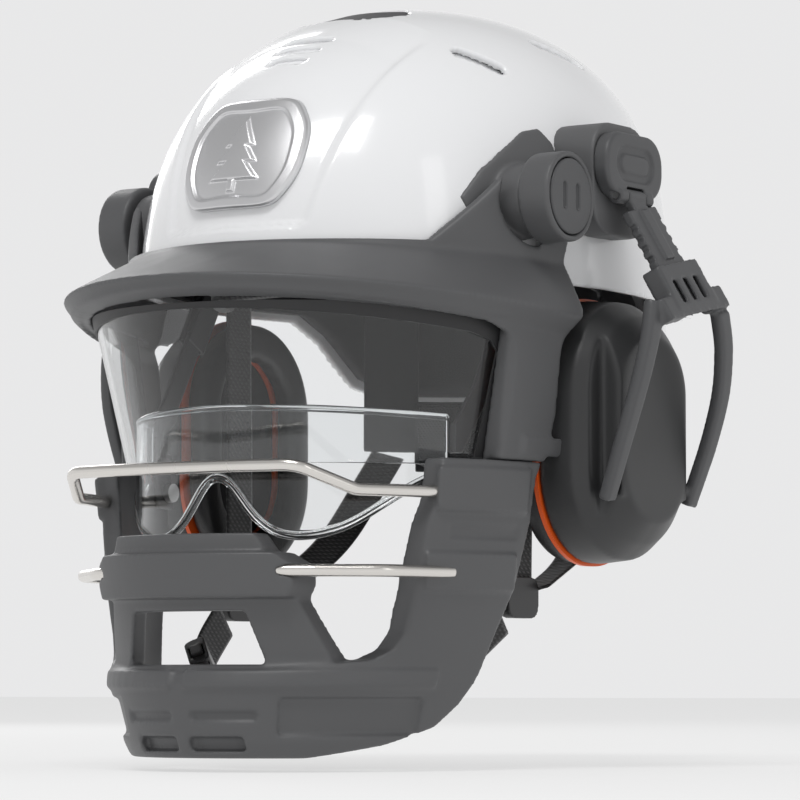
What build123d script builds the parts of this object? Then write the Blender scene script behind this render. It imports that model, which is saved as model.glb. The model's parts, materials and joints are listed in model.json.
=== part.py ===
"""Forestry helmet with a hinged face guard, slide-up glasses and ear muffs.

Millimetres. +X is the wearer's left, -Y is forward, +Z is up. The origin lies midway
between the two ear cups, where the middle of the wearer's head is.
"""
import os
from math import cos, radians, sin

from build123d import *

os.makedirs("parts", exist_ok=True)

# ---------------------------------------------------------------- driving dimensions
SHELL_X = 102.0  # half width of the outer shell
SHELL_Y = 134.0  # half length of the outer shell
SHELL_TOP = 185.0
SPRING_Z = 67.0  # height where the dome leaves the upright wall
DOME_POWER = 2.35  # how square the dome's profile is
CROWN_SHIFT = 12.0  # how far the top of the dome sits behind the middle
DOME_LEVELS = (0.0, 0.35, 0.6, 0.78, 0.9, 0.965, 0.995)  # heights of the rings that shape it
SHELL_WALL = 3.0
SHELL_SIDE_Z = 59.0  # lower edge over the ears and the brow
SHELL_REAR_Z = 24.0  # lower edge at the nape

HUB_Y = -52.0  # hinge axis of the face guard
HUB_Z = 92.5
HUB_FACE_X = 115.0
HUB_RADIUS = 18.5
HUB_CAP_RADIUS = 15.5
PIVOT_PIN_RADIUS = 6.0
GUARD_CENTRE_Y = -36.0  # centre of every plan ellipse of the face guard
GUARD_RAISE = 70.0  # degrees the face guard can be raised
GUARD_STANDOFF = 3.0  # room between the shell and the raised guard
GUARD_WALL = 4.5
CHIN_WALL = 9.0
JOINT_Z = -15.0  # where the chin guard meets the brim frame
CHIN_BOTTOM = -134.0
WIRE_RADIUS = 2.5

CUP_Y = 84.0  # ear cup, fore and aft
CUP_Z = 110.0
CUP_INNER_X = 79.5  # face of the cushion against the head
CUSHION_DEPTH = 10.5
RING_DEPTH = 1.9
CUP_DEPTH = 31.5
CUP_TILT_X = 119.5  # axis on which a cup tilts in its yoke
CUP_TILT_Z = -24.0

MUFF_TURN_Y = -8.0  # axis on which a muff turns back
MUFF_TURN_Z = 106.0
MUFF_HINGE_X = 117.0  # axis on which a muff swings out
MUFF_HINGE_Z = 96.0
ARM_DOWN = (0.42, 0.20, -0.885)  # the way an arm runs down from its hinge

BAND_X = 77.0  # headband, outside
BAND_Y = 101.0
BAND_LOW = 64.0
BAND_HIGH = 86.0
BAND_WALL = 2.0

GLASSES_RADIUS = 83.0  # plan curve of the glasses
GLASSES_CENTRE_Y = -55.0
GLASSES_WALL = 2.4
GLASSES_SLOPE = radians(60.0)  # the glasses slide up and back at this slope

FIT = 0.2  # gap between neighbouring pieces of one assembly
RUN = 0.05  # radial clearance of a pin in its bore
MOVE = 0.4  # gap between pieces that move past each other

FAR = 260.0  # beyond the whole object

# Plan ellipses of the face guard below the brim: height, half width, half length.
GUARD_SECTIONS = (
    (CHIN_BOTTOM, 77.0, 121.0),
    (-128.0, 80.0, 124.0),
    (-105.0, 88.0, 128.0),
    (-95.0, 90.0, 124.0),
    (-67.0, 95.0, 128.0),
    (JOINT_Z, 101.0, 134.0),
)


# ---------------------------------------------------------------- shared shapes
def level(height, centre_y=0.0, tilt=0.0):
    """Plan plane at a height; a tilt raises its front by that slope."""
    return Plane(origin=(0, centre_y, height), x_dir=(1, 0, 0), z_dir=(0, tilt, 1))


def ellipse_loft(sections):
    """Straight-sided solid through ellipses given as (plane, half width, half length)."""
    with BuildPart() as body:
        for plane, half_x, half_y in sections:
            with BuildSketch(plane):
                Ellipse(half_x, half_y)
        loft(ruled=True)
    return body.part


def dome_solid(offset, bottom):
    """Solid dome whose surface stands `offset` outside the outer face of the shell."""
    half_x = SHELL_X + offset
    half_y = SHELL_Y + offset
    rise = SHELL_TOP + offset - SPRING_Z
    rings = [(level(bottom), half_x, half_y)]
    for share in DOME_LEVELS:
        narrowing = (1.0 - share ** DOME_POWER) ** (1.0 / DOME_POWER)
        ring_plane = level(SPRING_Z + rise * share, CROWN_SHIFT * share)
        rings.append((ring_plane, half_x * narrowing, half_y * narrowing))
    return ellipse_loft(rings)


def side_prism(points, low=-FAR, high=FAR):
    """Prism across the helmet, from an outline of (y, z) points."""
    with BuildPart() as prism:
        with BuildSketch(Plane.YZ.offset(low)):
            with BuildLine():
                Polyline(*points, close=True)
            make_face()
        extrude(amount=high - low)
    return prism.part


def front_prism(points, front, back):
    """Prism from front to back, from an outline of (x, z) points."""
    with BuildPart() as prism:
        with BuildSketch(Plane.XZ.offset(-back)):
            with BuildLine():
                Polyline(*points, close=True)
            make_face()
        extrude(amount=back - front)
    return prism.part


def block(x_span, y_span, z_span):
    """Box between two corners."""
    middle = [sum(span) / 2.0 for span in (x_span, y_span, z_span)]
    with BuildPart() as box:
        with Locations(tuple(middle)):
            Box(x_span[1] - x_span[0], y_span[1] - y_span[0], z_span[1] - z_span[0])
    return box.part


def ellipse_wall(half_x, half_y, centre_y, wall, low, high):
    """Upright oval tube."""
    with BuildPart() as tube:
        with BuildSketch(Plane.XY.offset(low)):
            with Locations((0, centre_y)):
                Ellipse(half_x, half_y)
                Ellipse(half_x - wall, half_y - wall, mode=Mode.SUBTRACT)
        extrude(amount=high - low)
    return tube.part


def rod_along_x(radius, low, high, y, z):
    """Round bar along X."""
    with BuildPart() as rod:
        with BuildSketch(Plane.YZ.offset(low)):
            with Locations((y, z)):
                Circle(radius)
        extrude(amount=high - low)
    return rod.part


def rod_along_y(radius, low, high, x, z):
    """Round bar along Y."""
    with BuildPart() as rod:
        with BuildSketch(Plane.XZ.offset(-high)):
            with Locations((x, z)):
                Circle(radius)
        extrude(amount=high - low)
    return rod.part


def strap_plane(start, bend, end):
    """Plane through three points of a strap, from its first point along its first run."""
    along = Vector(bend) - Vector(start)
    normal = along.cross(Vector(end) - Vector(start))
    return Plane(origin=start, x_dir=along, z_dir=normal)


def webbing(points, width, thickness, radius):
    """Flat strap through points of one plane; its width stands across that plane."""
    plane = strap_plane(points[0], points[1], points[2])
    local = [plane.to_local_coords(Vector(point)) for point in points]
    with BuildPart() as strap:
        with BuildSketch(plane):
            with BuildLine():
                FilletPolyline(*[(p.X, p.Y) for p in local], radius=radius)
            trace(line_width=thickness)
        extrude(amount=width / 2.0, both=True)
    return strap.part


def mirrored(piece):
    """The same piece on the wearer's other side."""
    with BuildPart() as other:
        mirror(piece, about=Plane.YZ)
    return other.part


def joined(*pieces):
    """Several separate solids as one node."""
    with BuildPart() as group:
        add(pieces)
    return group.part


written = []


def finish(piece, label):
    """Label a finished piece and write it."""
    piece.label = label
    export_step(piece, f"parts/{label}.step")
    written.append(label)


def finish_pair(piece, label):
    """Write a left piece and its mirror image."""
    finish(mirrored(piece), f"{label}_right")
    finish(piece, f"{label}_left")


# ---------------------------------------------------------------- helmet shell
TRIM = [
    (-FAR, -FAR), (-FAR, SHELL_SIDE_Z), (48, SHELL_SIDE_Z), (60, 50),
    (76, SHELL_REAR_Z + 6), (92, SHELL_REAR_Z), (FAR, SHELL_REAR_Z), (FAR, -FAR),
]
CROWN_SLOT = [(-18, -54), (18, -54), (27, -38), (16, -24), (-16, -24), (-27, -38)]


def crown_opening(inset):
    """Upright prism of the leaf-shaped opening at the front of the crown."""
    with BuildPart() as opening:
        with BuildSketch(Plane.XY.offset(120)):
            with BuildLine():
                Polyline(*CROWN_SLOT, close=True)
            make_face()
            if inset:
                offset(amount=-inset, kind=Kind.INTERSECTION, mode=Mode.REPLACE)
        extrude(amount=90)
    return opening.part


def vent_slots(grow):
    """Cutters for the shell's air slots: three over the brow and two on each side."""
    brow = Plane(origin=(0, -86, 161.5), x_dir=(1, 0, 0), z_dir=(0, -0.7, 0.71))
    flank = Plane(origin=(67, -45, 155.5), x_dir=(0.42, 0.47, -0.28), z_dir=(0.6, -0.3, 0.75))
    temple = Plane(origin=(65.5, 16, 163.5), x_dir=(0.14, 0.85, -0.28), z_dir=(0.5, 0.12, 0.86))
    with BuildPart() as slots:
        with BuildSketch(brow):
            with GridLocations(1, 9, 1, 3):
                SlotOverall(22 + 2 * grow, 4.6 + 2 * grow)
        with BuildSketch(flank):
            SlotOverall(24 + 2 * grow, 6 + 2 * grow)
        with BuildSketch(temple):
            SlotOverall(32 + 2 * grow, 6 + 2 * grow)
        extrude(amount=16, both=True)
        mirror(about=Plane.YZ)
    return slots.part


with BuildPart() as outer_shell:
    add(dome_solid(0.0, 0.0))
    add(dome_solid(-SHELL_WALL, -1.0), mode=Mode.SUBTRACT)
    add(side_prism(TRIM), mode=Mode.SUBTRACT)
    add(crown_opening(0.0), mode=Mode.SUBTRACT)
    add(vent_slots(0.0), mode=Mode.SUBTRACT)
finish(outer_shell.part, "outer_shell")

with BuildPart() as crown_vent_insert:
    add(dome_solid(-0.4, 60.0))
    add(dome_solid(-SHELL_WALL - 2.2, 59.0), mode=Mode.SUBTRACT)
    add(crown_opening(FIT), mode=Mode.INTERSECT)
finish(crown_vent_insert.part, "crown_vent_insert")

with BuildPart() as vent_screens:
    add(dome_solid(-SHELL_WALL - FIT, 60.0))
    add(dome_solid(-SHELL_WALL - FIT - 1.2, 59.0), mode=Mode.SUBTRACT)
    add(vent_slots(2.5), mode=Mode.INTERSECT)
    add(crown_opening(-2.0), mode=Mode.SUBTRACT)
finish(vent_screens.part, "vent_screens")

with BuildPart() as shell_liner:
    add(dome_solid(-SHELL_WALL - 2.5, 20.0))
    add(dome_solid(-SHELL_WALL - 7.5, 19.0), mode=Mode.SUBTRACT)
    add(side_prism([(y, z + 3.0) for y, z in TRIM]), mode=Mode.SUBTRACT)
finish(shell_liner.part, "shell_liner")

BADGE = [(-20, 87), (20, 87), (29, 100), (29, 121), (19, 134), (-19, 134), (-29, 121), (-29, 100)]
BADGE_RIM = 4.0
badge_middle = front_prism([(0.86 * x, 109.5 + 0.86 * (z - 109.5)) for x, z in BADGE], -FAR, -60)
with BuildPart() as badge:
    add(dome_solid(2.4, 60.0))
    add(dome_solid(FIT, 59.0), mode=Mode.SUBTRACT)
    add(front_prism(BADGE, -FAR, -60), mode=Mode.INTERSECT)
with BuildPart() as badge_field:
    add(dome_solid(4.0, 60.0))
    add(dome_solid(1.4, 59.0), mode=Mode.SUBTRACT)
    add(badge_middle, mode=Mode.INTERSECT)
with BuildPart() as rimmed_badge:
    add(badge.part)
    add(badge_field.part, mode=Mode.SUBTRACT)
finish(rimmed_badge.part, "badge")

# ---------------------------------------------------------------- guard pivots on the shell
BASE_TOP_X = 99.0
BASE_PLATE = [
    (-80, 92), (-70, 104), (-61, 111), (-45, 122), (-36, 124), (-31, 118), (-30.5, 104), (-35, 92),
    (-35, 80), (-60, 74), (-76, 82),
]
with BuildPart() as pivot_base:
    add(dome_solid(2.4, 60.0))
    add(side_prism(BASE_PLATE, 50, FAR), mode=Mode.INTERSECT)
    add(rod_along_x(15.0, 80, BASE_TOP_X, HUB_Y, HUB_Z))
    add(dome_solid(FIT, 59.0), mode=Mode.SUBTRACT)
    add(rod_along_x(PIVOT_PIN_RADIUS, BASE_TOP_X - 0.5, 112.8, HUB_Y, HUB_Z))
finish_pair(pivot_base.part, "pivot_base")

CAP_FLOOR_X = 109.0
with BuildPart() as pivot_cap:
    add(rod_along_x(HUB_CAP_RADIUS, CAP_FLOOR_X + MOVE, HUB_FACE_X, HUB_Y, HUB_Z))
    add(rod_along_x(PIVOT_PIN_RADIUS + RUN, 100, 113.2, HUB_Y, HUB_Z), mode=Mode.SUBTRACT)
    with BuildSketch(Plane.YZ.offset(HUB_FACE_X)):
        with Locations((HUB_Y - 5, HUB_Z), (HUB_Y + 5, HUB_Z)):
            SlotOverall(11, 2.6, rotation=90)
    extrude(amount=-1.4, mode=Mode.SUBTRACT)
finish_pair(pivot_cap.part, "pivot_cap")


# ---------------------------------------------------------------- face guard
BRIM_TILT = 0.083
CREASE_Z = 44.0  # the brim's outer edge, beside the hubs


def guard_level(height, tilt=0.0):
    """Plan plane on the guard's own centre line."""
    return level(height, GUARD_CENTRE_Y, tilt)


def guard_shape(inset, drop=0.0):
    """Solid inside the outer surface of the brim frame, moved in by `inset`."""
    return ellipse_loft([
        (guard_level(-30.0), 99.27 - inset, 132.27 - inset),
        (guard_level(JOINT_Z), 101.0 - inset, 134.0 - inset),
        (guard_level(CREASE_Z - 8.0 - drop, BRIM_TILT), 106.5 - inset, 136.0 - inset),
        (guard_level(CREASE_Z - drop, BRIM_TILT), 112.0 - inset, 145.0 - inset),
        (level(64.0 - drop, 0.0, 0.06), 107.5 - inset, 139.0 - inset),
        (level(113.0, -20.0), 106.0 - inset, 119.0 - inset),
    ])


def chin_shape(inset):
    """Solid inside the outer surface of the chin guard, moved in by `inset`."""
    ends = [(guard_level(z), a - inset, b - inset) for z, a, b in GUARD_SECTIONS]
    low = (guard_level(CHIN_BOTTOM - 4.0), 75.0 - inset, 118.0 - inset)
    return ellipse_loft([low, *ends] if inset else ends)


def visor_shape(grow):
    """Solid inside the outer surface of the visor lens, moved out by `grow`."""
    return ellipse_loft([
        (guard_level(-22.0), 90.8 + grow, 105.7 + grow),
        (guard_level(48.0), 100.3 + grow, 130.9 + grow),
    ])


FRAME_SIDE = [
    (-FAR, -20), (-FAR, 90), (-150, 73), (-97, 73), (-80, 90), (-66, 104.5), (-60, 109.3),
    (-52, 111), (-40, 106), (-34, 96), (-33.5, 88), (-38, 68), (-38, 56), (-36, 47),
    (-40, 40), (-44, 32), (-44.5, 3), (-49, JOINT_Z + FIT), (-120, JOINT_Z + FIT), (-120, -20),
]
WINDOW_SIDE = [
    (-FAR, 60), (-175, 50.5), (-165, 48.5), (-114, 42.5), (-88, 39.5), (-77, 36), (-73, 30),
    (-73, 9), (-77, -16), (-77, -40), (-FAR, -40),
]
SWEEP_STEPS = (0, 24, 47, 70)
TAB = ((-68, -54), (-31, -10))

with BuildPart() as flange:
    add(guard_shape(1.0))
    add(visor_shape(1.0), mode=Mode.SUBTRACT)
    add(block((-FAR, FAR), (-76, -67), (JOINT_Z + FIT, 38)), mode=Mode.INTERSECT)
with BuildPart() as tabs:
    add(guard_shape(CHIN_WALL + FIT))
    add(guard_shape(CHIN_WALL + FIT + 3.2), mode=Mode.SUBTRACT)
    add(block((-FAR, FAR), *TAB), mode=Mode.INTERSECT)
with BuildPart() as tab_roots:
    add(guard_shape(1.0))
    add(guard_shape(CHIN_WALL + FIT + 3.2), mode=Mode.SUBTRACT)
    add(block((-FAR, FAR), TAB[0], (JOINT_Z + FIT, -8)), mode=Mode.INTERSECT)
SCREW_Y = -61.0
SCREW_Z = -23.0
with BuildPart() as brim_frame:
    add(guard_shape(0.0))
    add(guard_shape(GUARD_WALL, 4.0), mode=Mode.SUBTRACT)
    add(side_prism(FRAME_SIDE), mode=Mode.INTERSECT)
    add(side_prism(WINDOW_SIDE), mode=Mode.SUBTRACT)
    add(flange.part)
    add(tabs.part)
    add(tab_roots.part)
    add(rod_along_x(HUB_RADIUS, 96, HUB_FACE_X, HUB_Y, HUB_Z))
    add(rod_along_x(HUB_RADIUS, -HUB_FACE_X, -96, HUB_Y, HUB_Z))
    for step in SWEEP_STEPS:
        clearance = dome_solid(GUARD_STANDOFF, 20.0)
        add(clearance.rotate(Axis((0, HUB_Y, HUB_Z), (1, 0, 0)), step), mode=Mode.SUBTRACT)
    for side in (1, -1):
        near, far = sorted((side * 90, side * (BASE_TOP_X + 1.0)))
        add(rod_along_x(HUB_RADIUS + 1.0, near, far, HUB_Y, HUB_Z), mode=Mode.SUBTRACT)
        near, far = sorted((side * 90, side * 130))
        add(rod_along_x(PIVOT_PIN_RADIUS + RUN, near, far, HUB_Y, HUB_Z), mode=Mode.SUBTRACT)
        near, far = sorted((side * CAP_FLOOR_X, side * 130))
        add(rod_along_x(HUB_CAP_RADIUS + MOVE, near, far, HUB_Y, HUB_Z), mode=Mode.SUBTRACT)
        near, far = sorted((side * 70, side * 98))
        add(rod_along_x(2.05, near, far, SCREW_Y, SCREW_Z), mode=Mode.SUBTRACT)
finish(brim_frame.part, "brim_frame")

upper_wire_points = [
    (89, -89, -28.5), (69, -139.5, -28.6), (55.5, -161, -19.5), (30, -166, -19.5),
    (-30, -166, -19.5), (-55.5, -161, -19.5), (-69, -139.5, -28.6), (-89, -89, -28.5),
]
lower_wire_points = [
    (85, -95, -60.3), (77, -127, -60.3), (50, -151, -60.3), (20, -161, -60.3),
    (-20, -161, -60.3), (-50, -151, -60.3), (-77, -127, -60.3), (-85, -95, -60.3),
]


def wire(points, radii, thickness):
    """Bent round wire."""
    with BuildPart() as rod:
        with BuildLine() as route:
            FilletPolyline(*points, radius=radii)
        start = route.line @ 0
        with BuildSketch(Plane(origin=start, z_dir=route.line % 0)):
            Circle(thickness)
        sweep(path=route.line)
    return rod.part


UPPER_RADII = [10, 12, 60, 60, 12, 10]
LOWER_RADII = [22, 30, 50, 50, 30, 22]
upper_wire = wire(upper_wire_points, UPPER_RADII, WIRE_RADIUS)
lower_wire = wire(lower_wire_points, LOWER_RADII, WIRE_RADIUS)
finish(upper_wire, "upper_wire")
finish(lower_wire, "lower_wire")

CHEEK_SIDE = [
    (-104, JOINT_Z), (-51, JOINT_Z), (-54, -22), (-55, -40), (-61, -67), (-67, -82), (-74, -101),
    (-81, -113), (-90, -122), (-110, -129), (-135, CHIN_BOTTOM), (-190, CHIN_BOTTOM), (-190, -100),
    (-160, -100), (-144, -97.5), (-121, -95), (-114, -91), (-110.5, -84), (-109.5, -66), (-107, -42),
    (-104, -31),
]
POST = [(-44, -66), (44, -66), (56, -102), (-56, -102)]
POST_WINDOW = [(-27, -76), (27, -76), (33, -97), (-33, -97)]
PAD_MAIN = [(-46, -71), (-48, -66), (-48, -58), (-42, -53), (42, -53), (48, -58), (48, -66), (46, -71)]
PAD_TOP = [(-38, -53.5), (-34, -45.5), (34, -45.5), (38, -53.5)]

with BuildPart() as cheeks_and_bar:
    add(chin_shape(0.0))
    add(chin_shape(CHIN_WALL), mode=Mode.SUBTRACT)
    add(side_prism(CHEEK_SIDE), mode=Mode.INTERSECT)
with BuildPart() as post:
    add(chin_shape(1.0))
    add(chin_shape(CHIN_WALL), mode=Mode.SUBTRACT)
    add(front_prism(POST, -FAR, -110), mode=Mode.INTERSECT)
    add(front_prism(POST_WINDOW, -FAR, -110), mode=Mode.SUBTRACT)
with BuildPart() as pad_main:
    add(ellipse_loft([(guard_level(-74.0), 99.0, 132.0), (guard_level(-50.0), 101.5, 134.5)]))
    add(chin_shape(CHIN_WALL), mode=Mode.SUBTRACT)
    add(front_prism(PAD_MAIN, -FAR, -110), mode=Mode.INTERSECT)
with BuildPart() as pad_top:
    add(chin_shape(-1.0))
    add(chin_shape(CHIN_WALL), mode=Mode.SUBTRACT)
    add(front_prism(PAD_TOP, -FAR, -110), mode=Mode.INTERSECT)
with BuildPart() as bar_slots:
    add(chin_shape(0.0))
    add(chin_shape(4.0), mode=Mode.SUBTRACT)
    add(block((-25, 25), (-190, -130), (-131, -125.5)), mode=Mode.INTERSECT)
    add(block((-3, 3), (-190, -130), (-132, -125)), mode=Mode.SUBTRACT)
with BuildPart() as chin_guard:
    add(cheeks_and_bar.part)
    add(post.part)
    add(pad_main.part)
    add(pad_top.part)
    add(bar_slots.part, mode=Mode.SUBTRACT)
    for side in (1, -1):
        low, high = sorted((side * 70, side * 96))
        add(rod_along_x(2.05, low, high, SCREW_Y, SCREW_Z), mode=Mode.SUBTRACT)
    add(wire(upper_wire_points, UPPER_RADII, WIRE_RADIUS + 0.03), mode=Mode.SUBTRACT)
    add(wire(lower_wire_points, LOWER_RADII, WIRE_RADIUS + 0.03), mode=Mode.SUBTRACT)
finish(chin_guard.part, "chin_guard")

with BuildPart() as guard_screw:
    add(rod_along_x(2.0, 83.4, 95.5, SCREW_Y, SCREW_Z))
    add(rod_along_x(4.0, 81.0, 84.0, SCREW_Y, SCREW_Z))
finish(joined(guard_screw.part, mirrored(guard_screw.part)), "guard_screws")

VISOR_SIDE = [
    (-70, 44), (-70, -17), (-100, -17), (-150, -17), (-190, -17), (-190, 46), (-120, 45),
]
with BuildPart() as visor_lens:
    add(visor_shape(0.0))
    add(visor_shape(-2.0), mode=Mode.SUBTRACT)
    add(side_prism(VISOR_SIDE), mode=Mode.INTERSECT)
finish(visor_lens.part, "visor_lens")

GASKET_OUTER = [
    (-69, 43), (-69, -14), (-79, -14), (-75, 29), (-79, 33), (-90, 36), (-170, 44), (-190, 46),
    (-190, 50),
]
with BuildPart() as visor_gasket:
    add(visor_shape(0.9))
    add(visor_shape(0.1), mode=Mode.SUBTRACT)
    add(side_prism(GASKET_OUTER), mode=Mode.INTERSECT)
    add(block((-FAR, FAR), (-FAR, -60), (46.0, 60)), mode=Mode.SUBTRACT)
finish(visor_gasket.part, "visor_gasket")

# ---------------------------------------------------------------- slide-up glasses
GLASSES_FRONT = [
    (-90, 3), (-40, 7), (40, 7), (90, 3), (90, -16), (74, -22), (54, -41), (36, -46), (22, -43),
    (10, -27), (4, -22), (-4, -22), (-10, -27), (-22, -43), (-36, -46), (-54, -41), (-74, -22), (-90, -16),
]
with BuildPart() as glasses_lens:
    with BuildSketch(Plane.XY.offset(-60)):
        with Locations((0, GLASSES_CENTRE_Y)):
            Circle(GLASSES_RADIUS)
            Circle(GLASSES_RADIUS - GLASSES_WALL, mode=Mode.SUBTRACT)
    extrude(amount=80)
    add(front_prism(GLASSES_FRONT, -FAR, -85), mode=Mode.INTERSECT)
finish(glasses_lens.part, "glasses_lens")

ARM_X = (77.9, 79.7)
arm_run = (cos(GLASSES_SLOPE), sin(GLASSES_SLOPE))


def along_track(start, distance, across):
    """Point beside the line in which the glasses slide, in (y, z)."""
    y = start[0] + distance * arm_run[0] - across * arm_run[1]
    z = start[1] + distance * arm_run[1] + across * arm_run[0]
    return (y, z)


ARM_ELBOW = (-67.0, 12.0)
ARM_HALF = 5.0
with BuildPart() as glasses_arm:
    add(side_prism([
        (-84.8, 0), (-84.8, -12), (-80, -12), along_track(ARM_ELBOW, -3, -ARM_HALF),
        along_track(ARM_ELBOW, 38, -ARM_HALF), along_track(ARM_ELBOW, 38, ARM_HALF),
        along_track(ARM_ELBOW, 3, ARM_HALF),
    ], *ARM_X))
    add(block((74.8, ARM_X[1]), (-84.8, -81.8), (-12, 0)))
finish_pair(glasses_arm.part, "glasses_arm")

TRACK_X = (76.9, 83.0)
with BuildPart() as glasses_track:
    add(side_prism([
        along_track(ARM_ELBOW, 33, -7.5), along_track(ARM_ELBOW, 84, -7.5),
        along_track(ARM_ELBOW, 84, 7.5), along_track(ARM_ELBOW, 33, 7.5),
    ], *TRACK_X))
    add(side_prism([
        along_track(ARM_ELBOW, 20, ARM_HALF + MOVE), along_track(ARM_ELBOW, 60, ARM_HALF + MOVE),
        along_track(ARM_ELBOW, 60, 12), along_track(ARM_ELBOW, 20, 12),
    ]), mode=Mode.SUBTRACT)
    add(side_prism([
        along_track(ARM_ELBOW, 20, -ARM_HALF - MOVE), along_track(ARM_ELBOW, 90, -ARM_HALF - MOVE),
        along_track(ARM_ELBOW, 90, ARM_HALF + MOVE), along_track(ARM_ELBOW, 20, ARM_HALF + MOVE),
    ], ARM_X[0] - MOVE, ARM_X[1] + MOVE), mode=Mode.SUBTRACT)
finish(joined(glasses_track.part, mirrored(glasses_track.part)), "glasses_tracks")

# ---------------------------------------------------------------- head suspension
TAIL_LOW = 0.0
TAIL_HIGH = 14.0
with BuildPart() as headband_drop:
    add(ellipse_wall(BAND_X, BAND_Y, -1.0, BAND_WALL, TAIL_LOW, BAND_LOW + 4))
    add(front_prism([
        (24, TAIL_LOW), (24, TAIL_HIGH), (46, TAIL_HIGH), (46, FAR), (62, FAR), (62, TAIL_LOW),
    ], 20, FAR), mode=Mode.INTERSECT)
with BuildPart() as headband:
    add(ellipse_wall(BAND_X, BAND_Y, -1.0, BAND_WALL, BAND_LOW, BAND_HIGH))
    add(headband_drop.part)
    add(mirrored(headband_drop.part))
finish(headband.part, "headband")

with BuildPart() as brow_pad:
    seat = -BAND_WALL - FIT
    add(ellipse_wall(BAND_X + seat, BAND_Y + seat, -1.0, 8.0, 54.0, BAND_HIGH - 5.5))
    add(block((-FAR, FAR), (-FAR, -50), (0, 120)), mode=Mode.INTERSECT)
finish(brow_pad.part, "brow_pad")


def crown_strap(rise, turn):
    """Band from the headband over the crown and down to the headband."""
    reach = 87.0
    across = (cos(turn), -sin(turn), 0)
    plane = Plane(origin=(0, -1, BAND_HIGH - 4), x_dir=(sin(turn), cos(turn), 0), z_dir=across)
    with BuildPart() as strap:
        with BuildSketch(plane):
            Ellipse(reach, rise)
            Ellipse(reach - 1.2, rise - 1.2, mode=Mode.SUBTRACT)
            with Locations((0, -reach)):
                Rectangle(3 * reach, 2 * reach, mode=Mode.SUBTRACT)
        extrude(amount=9, both=True)
        add(ellipse_wall(BAND_X + FIT, BAND_Y + FIT, -1.0, 3.2, 70, BAND_HIGH + 0.2), mode=Mode.SUBTRACT)
    return strap.part


finish(joined(crown_strap(59.0, radians(38)), crown_strap(57.4, radians(-38))), "crown_straps")

with BuildPart() as crown_pad:
    with BuildSketch(Plane.XY.offset(124)):
        Circle(28)
    extrude(amount=9)
finish(crown_pad.part, "crown_pad")

with BuildPart() as clip_blocks:
    with BuildSketch(Plane.XY.offset(69)):
        with Locations(Pos(62, 72) * Rot(0, 0, 49), Pos(62, -74) * Rot(0, 0, -50)):
            Rectangle(40, 14)
    extrude(amount=12)
    add(dome_solid(-SHELL_WALL - 7.5 - FIT, 20.0), mode=Mode.INTERSECT)
    add(ellipse_wall(BAND_X + FIT, BAND_Y + FIT, -1.0, 60.0, 60, 90), mode=Mode.SUBTRACT)
finish(joined(clip_blocks.part, mirrored(clip_blocks.part)), "suspension_clips")

# ---------------------------------------------------------------- nape fitting
with BuildPart() as nape_cradle:
    add(ellipse_wall(BAND_X - BAND_WALL - MOVE, BAND_Y - BAND_WALL - MOVE, -1.0, 2.5, -9, 23))
    add(front_prism([(-45.4, -9), (-45.4, 23), (45.4, 23), (45.4, -9)], 20, FAR), mode=Mode.INTERSECT)
finish(nape_cradle.part, "nape_cradle")

with BuildPart() as nape_pad:
    add(ellipse_wall(BAND_X - 5.2, BAND_Y - 5.2, -1.0, 6.0, -7, 21))
    add(front_prism([(-41, -7), (-41, 21), (41, 21), (41, -7)], 20, FAR), mode=Mode.INTERSECT)
finish(nape_pad.part, "nape_pad")

NAPE_Z = 7.0
WHEEL_Y = 108.0
with BuildPart() as ratchet_housing:
    with BuildSketch(Plane.XZ.offset(-WHEEL_Y)):
        with Locations((0, NAPE_Z)):
            RectangleRounded(40, 34, 8)
    extrude(amount=30)
    seat = FIT - BAND_WALL - MOVE
    add(ellipse_wall(BAND_X + seat, BAND_Y + seat, -1.0, 74.0, -20, 40), mode=Mode.SUBTRACT)
    add(rod_along_y(3.0 + RUN, 90, 130, 0, NAPE_Z), mode=Mode.SUBTRACT)
finish(ratchet_housing.part, "ratchet_housing")

with BuildPart() as nape_wheel:
    with BuildSketch(Plane.XZ.offset(-(WHEEL_Y + 10))):
        with Locations((0, NAPE_Z)):
            Circle(15)
            with PolarLocations(15, 20):
                Circle(1.5)
    extrude(amount=10 - MOVE)
    add(rod_along_y(3.0, WHEEL_Y - 6, WHEEL_Y + 2, 0, NAPE_Z))
finish(nape_wheel.part, "nape_wheel")

# ---------------------------------------------------------------- chin strap harness
STRAP_WALL = 1.2
STRAP_WIDTH = 18.0
DIVIDER = (71.5, -24.0, -68.0)
with BuildPart() as temple_strap:
    with BuildSketch(Plane.XZ.offset(24)):
        with BuildLine():
            FilletPolyline((72.9, BAND_LOW - FIT), (72.9, 10), (71.6, DIVIDER[2] + 8), radius=200)
        trace(line_width=STRAP_WALL)
    extrude(amount=STRAP_WIDTH / 2, both=True)
finish(joined(temple_strap.part, mirrored(temple_strap.part)), "temple_straps")

with BuildPart() as strap_divider:
    with BuildSketch(Plane.YZ.offset(DIVIDER[0] - 2.5)):
        with Locations((DIVIDER[1], DIVIDER[2] - 1)):
            RectangleRounded(23, 17, 5)
    extrude(amount=5)
finish_pair(strap_divider.part, "strap_divider")

neck_strap = webbing(
    [(70.5, -11.0, -66.0), (66, 34, -48), (54.5, 66, -1.5)], STRAP_WIDTH, STRAP_WALL, 30
)
finish(joined(neck_strap, mirrored(neck_strap)), "neck_straps")

chin_plane = Plane(origin=(0, -37.5, -77.5), x_dir=(1, 0, 0), z_dir=(0, 0.6, -0.8))


def chin_webbing(points, radius):
    """Strap laid in the sloping plane of the chin strap."""
    with BuildPart() as strap:
        with BuildSketch(chin_plane):
            with BuildLine():
                FilletPolyline(*points, radius=radius)
            trace(line_width=1.4)
        extrude(amount=STRAP_WIDTH / 2, both=True)
    return strap.part


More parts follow.
